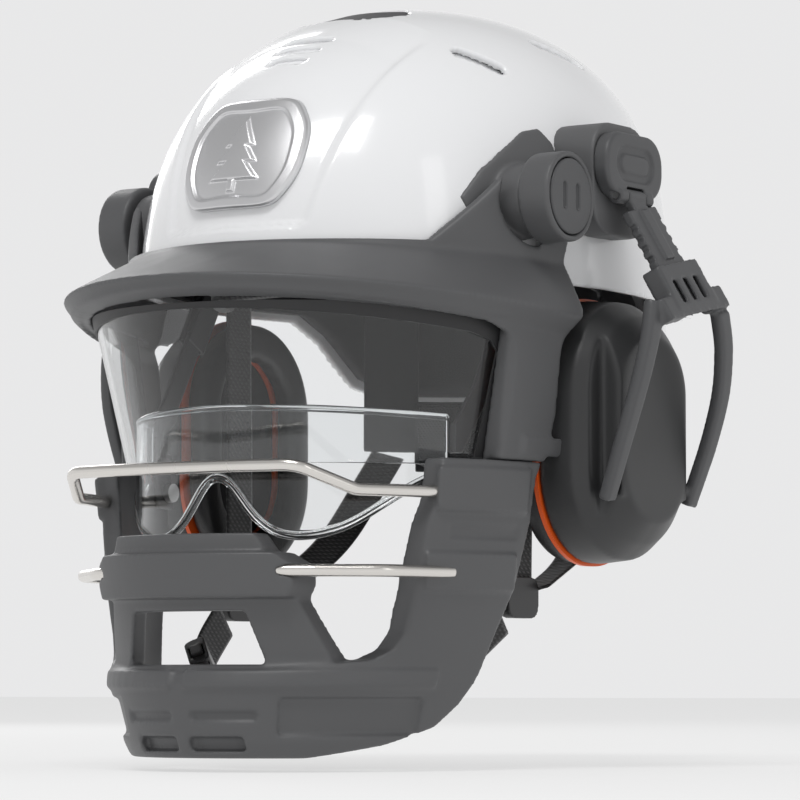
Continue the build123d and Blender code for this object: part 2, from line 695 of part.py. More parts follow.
finish(chin_webbing([(70.6, -1.2), (63, 36), (24, 72), (-24, 72), (-35, 61.5)], 14), "chin_strap_left")
finish(chin_webbing([(-70.6, -1.2), (-67.5, 18), (-64, 30)], 20), "chin_strap_right")

with BuildPart() as chin_cup:
    with BuildSketch(chin_plane.offset(-13)):
        with Locations((0, 68.2)):
            RectangleRounded(44, 5, 2.2)
    extrude(amount=26)
finish(chin_cup.part, "chin_cup")

buckle_axis = Plane(
    origin=chin_plane.from_local_coords(Vector(-49.5, 46.5, 0)),
    x_dir=chin_plane.from_local_coords(Vector(-28.2, -34, 0)) - chin_plane.origin,
    z_dir=chin_plane.z_dir,
)
with BuildPart() as buckle_socket:
    with BuildSketch(buckle_axis.offset(-13)):
        with Locations((10, 0)):
            RectangleRounded(20, 9, 3)
    extrude(amount=26)
    with BuildSketch(buckle_axis.offset(-10.5)):
        with Locations((6, 0)):
            Rectangle(24, 5.4)
    extrude(amount=21, mode=Mode.SUBTRACT)
    for low in (-14, 8):
        with BuildSketch(buckle_axis.offset(low)):
            with Locations((9, 0)):
                Rectangle(9, 6)
        extrude(amount=6, mode=Mode.SUBTRACT)
finish(buckle_socket.part, "buckle_socket")

with BuildPart() as buckle_plug:
    with BuildSketch(buckle_axis.offset(-13)):
        with Locations((-9, 0)):
            RectangleRounded(17, 8, 3)
    extrude(amount=26)
    with BuildSketch(buckle_axis.offset(-3)):
        with Locations((5, 0)):
            Rectangle(16, 3.6)
    extrude(amount=6)
finish(buckle_plug.part, "buckle_plug")

with BuildPart() as buckle_tab:
    with BuildSketch(buckle_axis.offset(7.4)):
        with Locations((9, 0)):
            Rectangle(8, 5)
    extrude(amount=7)
with BuildPart() as other_tab:
    mirror(buckle_tab.part, about=buckle_axis)
finish(buckle_tab.part, "buckle_tab_lower")
finish(other_tab.part, "buckle_tab_upper")

# ---------------------------------------------------------------- ear muff arms
MOUNT_FACE_X = 112.0
with BuildPart() as muff_mount:
    with BuildSketch(Plane.YZ.offset(70)):
        with Locations((MUFF_TURN_Y, 103.5)):
            RectangleRounded(44, 47, 14)
    extrude(amount=MOUNT_FACE_X - 70)
    add(dome_solid(FIT, 20.0), mode=Mode.SUBTRACT)
    add(rod_along_x(5.0 + RUN, 103, 120, MUFF_TURN_Y, MUFF_TURN_Z), mode=Mode.SUBTRACT)
finish_pair(muff_mount.part, "muff_mount")

HUB_LOW_X = MOUNT_FACE_X + MOVE
with BuildPart() as muff_hub:
    with BuildSketch(Plane.YZ.offset(HUB_LOW_X)):
        with Locations((MUFF_TURN_Y, 109.0)):
            RectangleRounded(45, 27, 12)
    extrude(amount=6.6)
    fillet(muff_hub.faces().sort_by(Axis.X)[-1].edges(), 1.6)
    add(rod_along_x(5.0, 104, HUB_LOW_X + 1, MUFF_TURN_Y, MUFF_TURN_Z))
    for low in (MUFF_TURN_Y - 13, MUFF_TURN_Y + 7):
        add(rod_along_y(3.4, low, low + 6, MUFF_HINGE_X, MUFF_HINGE_Z))
    knuckle_room = rod_along_y(
        4.2, MUFF_TURN_Y - 7, MUFF_TURN_Y + 7, MUFF_HINGE_X, MUFF_HINGE_Z
    )
    add(knuckle_room, mode=Mode.SUBTRACT)
    pin_seat = rod_along_y(
        1.5, MUFF_TURN_Y - 20, MUFF_TURN_Y + 20, MUFF_HINGE_X, MUFF_HINGE_Z
    )
    add(pin_seat, mode=Mode.SUBTRACT)
finish_pair(muff_hub.part, "muff_hub")
finish_pair(
    rod_along_y(1.5, MUFF_TURN_Y - 12.9, MUFF_TURN_Y + 12.9, MUFF_HINGE_X, MUFF_HINGE_Z), "muff_hinge_pin"
)

arm_down = Vector(*ARM_DOWN).normalized()
arm_out = Vector(0, 1, 0).cross(arm_down).normalized() * -1
arm_plane = Plane(
    origin=(MUFF_HINGE_X, MUFF_TURN_Y, MUFF_HINGE_Z), x_dir=arm_out.cross(arm_down), z_dir=arm_out
)
ARM_WALL = 4.0


def arm_box(across, down, outward):
    """Box in the arm's own directions: across it, down along it and outward."""
    with BuildPart() as box:
        with BuildSketch(arm_plane.offset(outward[0])):
            with Locations((sum(across) / 2, sum(down) / 2 * ARM_SIGN)):
                Rectangle(across[1] - across[0], down[1] - down[0])
        extrude(amount=outward[1] - outward[0])
    return box.part


ARM_SIGN = 1.0 if arm_plane.y_dir.dot(arm_down) > 0 else -1.0
with BuildPart() as muff_arm:
    add(rod_along_y(3.4, MUFF_TURN_Y - 6.5, MUFF_TURN_Y + 6.5, MUFF_HINGE_X, MUFF_HINGE_Z))
    add(arm_box((-6, 6), (0, 8), (-2, 2)))
    add(arm_box((-13, 13), (6, 50), (-2, 2)))
    add(arm_box((-4, 4), (7, 30), (2, 3.2)))
    bore = rod_along_y(
        1.5 + RUN, MUFF_TURN_Y - 20, MUFF_TURN_Y + 20, MUFF_HINGE_X, MUFF_HINGE_Z
    )
    add(bore, mode=Mode.SUBTRACT)
finish_pair(muff_arm.part, "muff_arm")

LEG_Y = 33.0
yoke_line = [(139.2, 54), (138.4, 38), (132, 8), (CUP_TILT_X + 0.4, CUP_TILT_Z - 4)]


def yoke_bar(points, low, high, wall):
    """Bar bent in the X-Z plane, between two Y values."""
    with BuildPart() as bar:
        with BuildSketch(Plane.XZ.offset(-high)):
            with BuildLine():
                Polyline(*points)
            trace(line_width=wall)
        extrude(amount=high - low)
    return bar.part


with BuildPart() as muff_yoke:
    add(arm_box((-20, 20), (32, 50), (-4.5, 4.5)))
    add(arm_box((-20, 20), (50, 56), (-4.5, 4.5)))
    add(yoke_bar(yoke_line[:2], -37.5, 37.5, 5.0))
    add(yoke_bar(yoke_line, LEG_Y - 4.5, LEG_Y + 4.5, 5.0))
    add(yoke_bar(yoke_line, -LEG_Y - 4.5, -LEG_Y + 4.5, 5.0))
    for side in (1, -1):
        low, high = sorted((side * 19.5, side * LEG_Y))
        add(rod_along_y(2.0, low, high, CUP_TILT_X, CUP_TILT_Z))
    add(arm_box((-13 - MOVE, 13 + MOVE), (20, 60), (-2 - MOVE, 2 + MOVE)), mode=Mode.SUBTRACT)
    add(arm_box((-4 - MOVE, 4 + MOVE), (20, 45), (0, 3.2 + MOVE)), mode=Mode.SUBTRACT)
finish_pair(muff_yoke.part, "muff_yoke")


# ---------------------------------------------------------------- ear cups
def oval_stack(sections):
    """Straight-sided solid through rounded ovals given as (x, size y, size z, corner)."""
    with BuildPart() as body:
        for x, size_y, size_z, corner in sections:
            with BuildSketch(Plane.YZ.offset(x)):
                RectangleRounded(size_y, size_z, corner)
        loft(ruled=True)
    return body.part


RING_X = CUP_INNER_X + CUSHION_DEPTH
CUP_X = RING_X + RING_DEPTH + 0.2
CUP_FACE_X = CUP_X + CUP_DEPTH
with BuildPart() as ear_cup:
    add(oval_stack([
        (CUP_X, CUP_Y, CUP_Z, 40), (CUP_X + 16, CUP_Y - 3, CUP_Z - 3, 38.5),
        (CUP_FACE_X - 7, CUP_Y - 16, CUP_Z - 16, 32), (CUP_FACE_X, CUP_Y - 34, CUP_Z - 34, 23),
    ]))
    add(oval_stack([
        (CUP_X - 1, CUP_Y - 7, CUP_Z - 7, 36.5), (CUP_X + 14, CUP_Y - 9, CUP_Z - 9, 35.5),
        (CUP_FACE_X - 11, CUP_Y - 22, CUP_Z - 22, 29),
    ]), mode=Mode.SUBTRACT)
    for side in (1, -1):
        low, high = sorted((side * 26.8, side * 50))
        add(block((CUP_TILT_X - 6, 140), (low, high), (CUP_TILT_Z - 12, 70)), mode=Mode.SUBTRACT)
        low, high = sorted((side * 18, side * 26.8))
        add(block((CUP_TILT_X - 6, CUP_TILT_X + 3.5), (low, high), (CUP_TILT_Z - 4.5, CUP_TILT_Z + 4.5)))
        low, high = sorted((side * 19, side * 40))
        add(rod_along_y(2.0 + RUN, low, high, CUP_TILT_X, CUP_TILT_Z), mode=Mode.SUBTRACT)
finish_pair(ear_cup.part, "ear_cup")

with BuildPart() as cup_ring:
    with BuildSketch(Plane.YZ.offset(RING_X + 0.1)):
        RectangleRounded(CUP_Y + 1.5, CUP_Z + 1.5, 40.5)
        RectangleRounded(CUP_Y - 30, CUP_Z - 30, 26, mode=Mode.SUBTRACT)
    extrude(amount=RING_DEPTH)
finish_pair(cup_ring.part, "cup_ring")

with BuildPart() as ear_cushion:
    with BuildSketch(Plane.YZ.offset(CUP_INNER_X)):
        RectangleRounded(CUP_Y - 2, CUP_Z - 2, 40)
        RectangleRounded(CUP_Y - 34, CUP_Z - 34, 24, mode=Mode.SUBTRACT)
    extrude(amount=CUSHION_DEPTH)
finish_pair(ear_cushion.part, "ear_cushion")

cup_foam = oval_stack([
    (CUP_X + 4, CUP_Y - 12, CUP_Z - 12, 34), (CUP_FACE_X - 14, CUP_Y - 26, CUP_Z - 26, 27),
])
finish_pair(cup_foam, "cup_foam")

print(len(written), "pieces")
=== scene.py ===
"""Looks of the forestry helmet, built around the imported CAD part. Blender 4.5, metres.

+X is the wearer's left, -Y is forward, +Z is up. Sizes below are in millimetres and are
scaled by MM where a mesh is made.
"""

import json
from math import acos, cos, pi, radians, sin

import bmesh
import bpy
import numpy as np
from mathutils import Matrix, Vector


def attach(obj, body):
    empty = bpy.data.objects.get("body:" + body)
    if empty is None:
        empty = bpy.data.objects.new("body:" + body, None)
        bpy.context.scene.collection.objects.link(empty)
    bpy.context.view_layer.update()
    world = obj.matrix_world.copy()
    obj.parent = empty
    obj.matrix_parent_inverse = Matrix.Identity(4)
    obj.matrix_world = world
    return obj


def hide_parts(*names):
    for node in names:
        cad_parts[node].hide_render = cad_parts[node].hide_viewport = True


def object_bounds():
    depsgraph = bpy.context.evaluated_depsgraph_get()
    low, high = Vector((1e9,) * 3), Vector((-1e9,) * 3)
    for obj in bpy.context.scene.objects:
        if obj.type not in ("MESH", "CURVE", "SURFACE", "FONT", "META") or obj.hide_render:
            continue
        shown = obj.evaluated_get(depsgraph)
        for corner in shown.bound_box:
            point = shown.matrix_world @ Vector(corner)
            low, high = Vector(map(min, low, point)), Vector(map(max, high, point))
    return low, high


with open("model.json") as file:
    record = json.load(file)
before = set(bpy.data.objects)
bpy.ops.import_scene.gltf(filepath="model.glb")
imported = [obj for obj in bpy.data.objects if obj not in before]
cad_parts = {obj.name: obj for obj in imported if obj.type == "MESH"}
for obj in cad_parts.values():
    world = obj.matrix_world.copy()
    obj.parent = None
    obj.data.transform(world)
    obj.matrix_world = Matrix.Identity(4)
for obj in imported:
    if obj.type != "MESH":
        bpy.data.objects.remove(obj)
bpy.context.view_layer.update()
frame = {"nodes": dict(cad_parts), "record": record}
nodes = frame["nodes"]
MM = 0.001

# ---------------------------------------------------------------- shared sizes of the part
SHELL_X, SHELL_Y, SHELL_TOP, SPRING_Z = 102.0, 134.0, 185.0, 67.0
DOME_POWER, CROWN_SHIFT, SHELL_WALL = 2.35, 12.0, 3.0
GUARD_Y = -36.0
GUARD_RINGS = np.array([
    (-134.0, 77.0, 121.0), (-128.0, 80.0, 124.0), (-105.0, 88.0, 128.0), (-95.0, 90.0, 124.0),
    (-67.0, 95.0, 128.0), (-15.0, 101.0, 134.0), (36.0, 106.5, 136.0),
])
GLASSES_R, GLASSES_Y = 83.0, -55.0
SIDES = {"left": 1.0, "right": -1.0}


# ---------------------------------------------------------------- mesh helpers
def new_object(name, verts, faces):
    """Mesh object from millimetre points."""
    mesh = bpy.data.meshes.new(name)
    mesh.from_pydata([tuple(MM * float(c) for c in v) for v in verts], [], [tuple(f) for f in faces])
    mesh.validate()
    obj = bpy.data.objects.new(name, mesh)
    bpy.context.scene.collection.objects.link(obj)
    tidy = bmesh.new()
    tidy.from_mesh(mesh)
    bmesh.ops.remove_doubles(tidy, verts=tidy.verts, dist=1e-6)
    bmesh.ops.recalc_face_normals(tidy, faces=tidy.faces)
    tidy.to_mesh(mesh)
    tidy.free()
    return obj


def copy_of(node, name):
    """New object with the welded mesh of a CAD node."""
    mesh = nodes[node].data.copy()
    mesh.name = name
    mesh.materials.clear()
    obj = bpy.data.objects.new(name, mesh)
    bpy.context.scene.collection.objects.link(obj)
    tidy = bmesh.new()
    tidy.from_mesh(mesh)
    bmesh.ops.remove_doubles(tidy, verts=tidy.verts, dist=1e-5)
    bmesh.ops.dissolve_degenerate(tidy, edges=tidy.edges, dist=1e-6)
    tidy.to_mesh(mesh)
    tidy.free()
    for key in list(mesh.attributes.keys()):
        if key == "custom_normal":
            mesh.attributes.remove(mesh.attributes[key])
    return obj


def apply_modifiers(obj):
    """Make the evaluated mesh the object's own."""
    graph = bpy.context.evaluated_depsgraph_get()
    mesh = bpy.data.meshes.new_from_object(obj.evaluated_get(graph))
    mesh.name = obj.name
    old = obj.data
    obj.modifiers.clear()
    obj.data = mesh
    bpy.data.meshes.remove(old)
    return obj


def drop(obj):
    """Remove a helper object."""
    mesh = obj.data
    bpy.data.objects.remove(obj)
    bpy.data.meshes.remove(mesh)


def cut(obj, *cutters):
    """Take cutters away from an object, and remove them."""
    for cutter in cutters:
        change = obj.modifiers.new("cut", "BOOLEAN")
        change.operation = "DIFFERENCE"
        change.solver = "EXACT"
        change.object = cutter
        apply_modifiers(obj)
        drop(cutter)
    return obj


def merge(obj, *others):
    """Put further closed meshes into an object, for a remesh to unite them."""
    whole = bmesh.new()
    whole.from_mesh(obj.data)
    for other in others:
        whole.from_mesh(other.data)
        drop(other)
    whole.to_mesh(obj.data)
    whole.free()
    return obj


def soften(obj, voxel, rounds):
    """Remesh evenly and relax, which rounds every edge as a mould does."""
    change = obj.modifiers.new("remesh", "REMESH")
    change.mode = "VOXEL"
    change.voxel_size = voxel * MM
    relax = obj.modifiers.new("relax", "SMOOTH")
    relax.factor = 0.5
    relax.iterations = rounds
    apply_modifiers(obj)
    return smooth(obj)


def smooth(obj):
    """Shade an object smoothly."""
    obj.data.polygons.foreach_set("use_smooth", [True] * len(obj.data.polygons))
    obj.data.update()
    return obj


def points_of(obj):
    """Vertex positions in millimetres."""
    co = np.zeros(len(obj.data.vertices) * 3)
    obj.data.vertices.foreach_get("co", co)
    return co.reshape(-1, 3) / MM


def move_points(obj, co):
    """Set vertex positions given in millimetres."""
    obj.data.vertices.foreach_set("co", (co * MM).ravel())
    obj.data.update()
    return obj


def grid_faces(rows, cols, wrap):
    """Quads of a grid of points, closed around its columns if wrap."""
    count = cols if wrap else cols - 1
    return [
        (r * cols + c, r * cols + (c + 1) % cols, (r + 1) * cols + (c + 1) % cols, (r + 1) * cols + c)
        for r in range(rows - 1) for c in range(count)
    ]


def tube_object(name, sections, capped):
    """Closed surface through equal loops of points; open sections are capped or joined up."""
    rows, cols = len(sections), len(sections[0])
    verts = [p for section in sections for p in section]
    faces = grid_faces(rows, cols, True)
    if capped:
        faces += [tuple(range(cols - 1, -1, -1)), tuple((rows - 1) * cols + c for c in range(cols))]
    else:
        last = (rows - 1) * cols
        faces += [(last + c, last + (c + 1) % cols, (c + 1) % cols, c) for c in range(cols)]
    return smooth(new_object(name, verts, faces))


def prism_object(name, outline, origin, across, out, reach):
    """Prism through an outline of (u, v) points; `out` is its axis and `reach` its two ends."""
    out = Vector(out).normalized()
    across = Vector(across).normalized()
    up = out.cross(across).normalized()
    across = up.cross(out)
    origin = Vector(origin)
    loops = []
    for distance in reach:
        loops.append([tuple(origin + across * u + up * v + out * distance) for u, v in outline])
    return tube_object(name, loops, True)


def slot_outline(length, width, steps=10):
    """Outline of a slot with round ends."""
    half, r = (length - width) / 2.0, width / 2.0
    turn = [pi * k / steps - pi / 2 for k in range(steps + 1)]
    right = [(half + r * cos(a), r * sin(a)) for a in turn]
    return right + [(-u, -v) for u, v in right]


def rounded_loop(half_u, half_v, corner, steps=14):
    """Outline of a rounded rectangle with its outward normals."""
    loop = []
    for quarter in range(4):
        su, sv = ((1, 1), (-1, 1), (-1, -1), (1, -1))[quarter]
        for k in range(steps + 1):
            a = pi / 2 * (quarter + k / steps)
            centre = (su * (half_u - corner), sv * (half_v - corner))
            loop.append((centre[0] + corner * cos(a), centre[1] + corner * sin(a), cos(a), sin(a)))
    dense = []
    for i, (u, v, nu, nv) in enumerate(loop):
        nxt = loop[(i + 1) % len(loop)]
        gap = ((u - nxt[0]) ** 2 + (v - nxt[1]) ** 2) ** 0.5
        count = max(1, int(gap / 3.0))
        for k in range(count):
            t = k / count
            dense.append(tuple(a + t * (b - a) for a, b in zip((u, v, nu, nv), nxt)))
    return dense


# ---------------------------------------------------------------- materials
def material(name, colour, rough, metal=0.0, **extra):
    """Principled material of one colour, with grain in its bump and roughness."""
    mat = bpy.data.materials.new(name)
    mat.use_nodes = True
    tree = mat.node_tree
    shader = tree.nodes["Principled BSDF"]
    shader.inputs["Base Color"].default_value = (*colour, 1.0)
    shader.inputs["Roughness"].default_value = rough
    shader.inputs["Metallic"].default_value = metal
    for key, value in extra.get("sockets", {}).items():
        shader.inputs[key].default_value = value
    coords = tree.nodes.new("ShaderNodeTexCoord")
    mapping = tree.nodes.new("ShaderNodeMapping")
    mapping.inputs["Scale"].default_value = extra.get("stretch", (1.0, 1.0, 1.0))
    tree.links.new(coords.outputs["Object"], mapping.inputs["Vector"])
    grain = tree.nodes.new("ShaderNodeTexNoise")
    grain.inputs["Scale"].default_value = extra.get("grain", 2500.0)
    grain.inputs["Detail"].default_value = 4.0
    tree.links.new(mapping.outputs["Vector"], grain.inputs["Vector"])
    bump = tree.nodes.new("ShaderNodeBump")
    bump.inputs["Strength"].default_value = extra.get("bump", 0.1)
    bump.inputs["Distance"].default_value = extra.get("depth", 0.0002)
    tree.links.new(grain.outputs["Fac"], bump.inputs["Height"])
    tree.links.new(bump.outputs["Normal"], shader.inputs["Normal"])
    cloud = tree.nodes.new("ShaderNodeTexNoise")
    cloud.inputs["Scale"].default_value = extra.get("cloud", 30.0)
    tree.links.new(coords.outputs["Object"], cloud.inputs["Vector"])
    wear = tree.nodes.new("ShaderNodeMapRange")
    spread = extra.get("spread", 0.06)
    wear.inputs["To Min"].default_value = max(0.02, rough - spread)
    wear.inputs["To Max"].default_value = min(1.0, rough + spread)
    tree.links.new(cloud.outputs["Fac"], wear.inputs["Value"])
    tree.links.new(wear.outputs["Result"], shader.inputs["Roughness"])
    return mat


def woven(name, colour, pitch):
    """Webbing or knitted cover: fine crossing ribs in the bump, and in the colour painted shade between the
    ribs and painted light on their tops.
    """
    mat = material(name, colour, 0.85, sockets={"Sheen Weight": 0.4, "Sheen Roughness": 0.5})
    tree = mat.node_tree
    shader = tree.nodes["Principled BSDF"]
    coords = tree.nodes.new("ShaderNodeTexCoord")
    heights = []
    for direction in ("DIAGONAL", "Z"):
        wave = tree.nodes.new("ShaderNodeTexWave")
        wave.bands_direction = direction
        wave.inputs["Scale"].default_value = 0.314 / pitch
        wave.inputs["Distortion"].default_value = 0.6
        tree.links.new(coords.outputs["Object"], wave.inputs["Vector"])
        heights.append(wave)
    both = tree.nodes.new("ShaderNodeMath")
    both.operation = "MULTIPLY"
    tree.links.new(heights[0].outputs["Fac"], both.inputs[0])
    tree.links.new(heights[1].outputs["Fac"], both.inputs[1])
    bump = tree.nodes.new("ShaderNodeBump")
    bump.inputs["Strength"].default_value = 0.6
    bump.inputs["Distance"].default_value = 0.0004
    tree.links.new(both.outputs["Value"], bump.inputs["Height"])
    tree.links.new(bump.outputs["Normal"], shader.inputs["Normal"])
    # Painted light and shade of the weave: the colour runs from a darkened copy in the hollows between ribs
    # to a lightened copy on the rib tops, following the bump height.
    painted_rib_light_and_shade = tree.nodes.new("ShaderNodeMix")
    painted_rib_light_and_shade.data_type = "RGBA"
    painted_rib_light_and_shade.inputs["A"].default_value = (*[0.55 * c for c in colour], 1.0)
    painted_rib_light_and_shade.inputs["B"].default_value = (*[1.5 * c for c in colour], 1.0)
    tree.links.new(both.outputs["Value"], painted_rib_light_and_shade.inputs["Factor"])
    tree.links.new(painted_rib_light_and_shade.outputs["Result"], shader.inputs["Base Color"])
    return mat


CLEAR = {"Transmission Weight": 1.0, "IOR": 1.42}
MATERIALS = {
    "shell_white": material(
        "shell_white", (0.86, 0.865, 0.875), 0.17, bump=0.02, grain=900.0, spread=0.03,
        sockets={"Coat Weight": 0.6, "Coat Roughness": 0.05},
    ),
    "liner_grey": material("liner_grey", (0.035, 0.035, 0.037), 0.8, bump=0.3, grain=1200.0),
    "vent_black": material("vent_black", (0.03, 0.03, 0.033), 0.5),
    "badge_metal": material(
        "badge_metal", (0.74, 0.74, 0.75), 0.34, 1.0, grain=420.0, stretch=(1.0, 1.0, 14.0),
        bump=0.3, depth=0.0001,
    ),
    "guard_grey": material(
        "guard_grey", (0.088, 0.089, 0.092), 0.46, bump=0.16, grain=2200.0, spread=0.07
    ),
    "base_grey": material("base_grey", (0.1, 0.101, 0.104), 0.48, bump=0.15),
    "cap_grey": material("cap_grey", (0.07, 0.071, 0.074), 0.44, bump=0.15),
    "wire_steel": material(
        "wire_steel", (0.76, 0.735, 0.7), 0.26, 1.0, grain=700.0, stretch=(0.15, 0.15, 3.0),
        bump=0.12, depth=0.0001,
    ),
    "screw_steel": material("screw_steel", (0.55, 0.55, 0.55), 0.35, 1.0),
    "visor_clear": material(
        "visor_clear", (0.97, 0.98, 0.985), 0.02, bump=0.0, spread=0.0, sockets=CLEAR
    ),
    "glasses_clear": material(
        "glasses_clear", (0.9, 0.915, 0.92), 0.02, bump=0.0, spread=0.0, sockets=CLEAR
    ),
    "glasses_frame": material("glasses_frame", (0.05, 0.05, 0.052), 0.3),
    "gasket_black": material("gasket_black", (0.02, 0.02, 0.021), 0.5),
    "cup_dark": material("cup_dark", (0.027, 0.0275, 0.0285), 0.4, bump=0.12, grain=2600.0),
    "ring_orange": material("ring_orange", (0.78, 0.105, 0.012), 0.42),
    "cushion_black": material(
        "cushion_black", (0.022, 0.022, 0.023), 0.42, bump=0.45, grain=900.0, depth=0.0004
    ),
    "foam_grey": material("foam_grey", (0.02, 0.02, 0.021), 0.95, bump=0.35, grain=1500.0, depth=0.0004),
    "band_black": material("band_black", (0.028, 0.028, 0.03), 0.45),
    "pad_fabric": woven("pad_fabric", (0.03, 0.03, 0.032), 0.0011),
    "webbing_black": woven("webbing_black", (0.022, 0.022, 0.023), 0.0016),
    "buckle_black": material("buckle_black", (0.018, 0.018, 0.019), 0.35),
}
NODE_SLOT = {part["node"]: part["material_slot"] for part in frame["record"]["subparts"]}
NODE_BODY = {n: b for b, names in frame["record"]["behaviour"]["bodies"].items() for n in names}


def fit(obj, *replaced):
    """Finish a piece that takes the place of CAD nodes: material, slot, body."""
    slot = NODE_SLOT[replaced[0]]
    obj.data.materials.clear()
    obj.data.materials.append(MATERIALS[slot])
    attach(obj, NODE_BODY[replaced[0]])
    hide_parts(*replaced)
    return obj


def moulded(node, voxel, rounds, extra=(), cutters=(), fine=None):
    """A hard piece: its CAD shape with added and cut detail and softened edges.

    With `fine`, a first, finer remesh keeps thin detail straight.
    """
    obj = copy_of(node, node + "_moulded")
    cut(obj, *cutters)
    merge(obj, *extra)
    if fine:
        soften(obj, fine, 14)
    return fit(soften(obj, voxel, rounds), node)


# ---------------------------------------------------------------- helmet shell
def band_depth(x, y, z):
    """How deep the front panel lies below the shell around it."""
    half = np.interp(z, [60, 80, 135, 160, 175], [33, 36, 46, 50, 42])
    side = np.clip((half - np.abs(x)) / 5.0, 0.0, 1.0)
    front = np.clip((-50.0 - y) / 24.0, 0.0, 1.0)
    low = np.clip((z - 79.0) / 2.4, 0.0, 1.0)
    return 2.0 * (side * side * (3 - 2 * side)) * front * (low * low * (3 - 2 * low))


def shell_value(p, offset):
    """Zero on the dome that stands `offset` outside the shell, positive outside it."""
    rise = SHELL_TOP + offset - SPRING_Z
    share = np.clip((p[:, 2] - SPRING_Z) / rise, 0.0, None)
    across = p[:, 0] / (SHELL_X + offset)
    along = (p[:, 1] - CROWN_SHIFT * share) / (SHELL_Y + offset)
    plan = (across ** 2 + along ** 2) ** 0.5
    return (plan ** DOME_POWER + share ** DOME_POWER) ** (1.0 / DOME_POWER) - 1.0


def settle(p, offset, reach):
    """Move points that lie within `reach` of a dome exactly onto it."""
    value = shell_value(p, offset)
    slope = np.stack([
        (shell_value(p + step, offset) - value) / 0.05 for step in np.eye(3) * 0.05
    ], axis=1)
    size = np.linalg.norm(slope, axis=1)
    gap = value / size
    share = np.clip((reach - np.abs(gap)) / (0.3 * reach), 0.0, 1.0)
    return p - (slope / size[:, None]) * (gap * share)[:, None]


def dome_loops(offset, low_at, turns, rows):
    """Rings of points up the dome, from a lower edge given as a function of y."""
    loops = []
    angles = np.linspace(0, 2 * pi, turns, endpoint=False)
    half_x, half_y, rise = SHELL_X + offset, SHELL_Y + offset, SHELL_TOP + offset - SPRING_Z
    low = low_at(half_y * np.sin(angles))
    for k in range(7):
        z = low + (SPRING_Z - low) * k / 7.0
        loops.append(np.stack([half_x * np.cos(angles), half_y * np.sin(angles), z], axis=1))
    for k in range(rows):
        a = pi / 2 * min(k / (rows - 1.0), 0.9995)
        share, narrow = sin(a) ** (2 / DOME_POWER), cos(a) ** (2 / DOME_POWER)
        x, y = half_x * narrow * np.cos(angles), CROWN_SHIFT * share + half_y * narrow * np.sin(angles)
        loops.append(np.stack([x, y, np.full(turns, SPRING_Z + rise * share)], axis=1))
    return loops


def dome_object(name, outer, inner, low_at, turns=220, rows=60, shape=None):
    """Dome with thickness between two offsets."""
    outside = dome_loops(outer, low_at, turns, rows)
    if shape:
        outside = [shape(loop) for loop in outside]
    inside = dome_loops(inner, low_at, turns, rows)
    if shape:
        inside = [shape(loop) for loop in inside]
    loops = outside + inside[::-1]
    verts = [tuple(p) for loop in loops for p in loop]
    top = (len(outside) - 1) * turns
    faces = [f for f in grid_faces(len(loops), turns, True) if f[0] // turns != len(outside) - 1]
    faces.append(tuple(top + c for c in range(turns)))
    faces.append(tuple(top + turns + c for c in range(turns)))
    last = (len(loops) - 1) * turns
    faces += [(last + c, last + (c + 1) % turns, (c + 1) % turns, c) for c in range(turns)]
    return new_object(name, verts, faces)


def shell_edge(y):
    """Height of the shell's lower edge."""
    return np.interp(y, [-140, 46, 60, 76, 94, 140], [59, 59, 50, 31, 24, 24])


def true_edge(p, reach=1.1):
    """Move points near the shell's lower edge exactly onto it."""
    low = shell_edge(p[:, 1])
    slope = (shell_edge(p[:, 1] + 0.05) - low) / 0.05
    size = (1.0 + slope * slope) ** 0.5
    gap = (p[:, 2] - low) / size
    share = np.clip((reach - np.abs(gap)) / (0.3 * reach), 0.0, 1.0)
    step = gap * share / size
    return p + np.stack([0.0 * step, slope * step, -step], axis=1)


def panelled(loop):
    """Sink the front panel into a ring of outer points."""
    depth = band_depth(loop[:, 0], loop[:, 1], loop[:, 2])[:, None]
    centre = np.array([0.0, 0.0, 60.0])
    away = loop - centre
    return loop - away / np.linalg.norm(away, axis=1)[:, None] * depth


LEAF = [(-18, -54), (18, -54), (27, -38), (16, -24), (-16, -24), (-27, -38)]
BROW = ((0, -86, 161.5), (1, 0, 0), (0, -0.7, 0.71))
FLANK = ((67, -45, 155.5), (0.42, 0.47, -0.28), (0.6, -0.3, 0.75))
TEMPLE = ((65.5, 16, 163.5), (0.14, 0.85, -0.28), (0.5, 0.12, 0.86))


def curved_leaf(grow):
    """Leaf outline with its corners rounded."""
    points = [Vector((x, y)) for x, y in LEAF]
    centre = sum(points, Vector((0, 0))) / len(points)
    points = [p + (p - centre).normalized() * grow for p in points]
    outline = []
    for i, p in enumerate(points):
        before, after = points[i - 1], points[(i + 1) % len(points)]
        a, b = p.lerp(before, 0.38), p.lerp(after, 0.38)
        for k in range(7):
            t = k / 6.0
            outline.append(tuple(a * (1 - t) ** 2 + p * 2 * t * (1 - t) + b * t * t))
    return outline


def vent_cutters():
    """Cutters for every opening of the shell."""
    found = [prism_object("leaf_cutter", curved_leaf(0.0), (0, 0, 0), (1, 0, 0), (0, 0, 1), (120, 215))]
    origin, across, out = BROW
    up = Vector(out).normalized().cross(Vector(across))
    for row, width in ((-1, 20), (0, 22), (1, 24)):
        place = Vector(origin) + up * 9.0 * row
        found.append(prism_object("brow_cutter", slot_outline(width, 4.6), place, across, out, (-14, 14)))
    for origin, across, out in (FLANK, TEMPLE):
        length = 24 if origin[1] < 0 else 32
        for side in (1, -1):
            flip = Vector((side, 1, 1))
            found.append(prism_object(
                "side_cutter", slot_outline(length, 6.0), Vector(origin) * flip,
                Vector(across) * flip, Vector(out) * flip, (-14, 14),
            ))
    return found


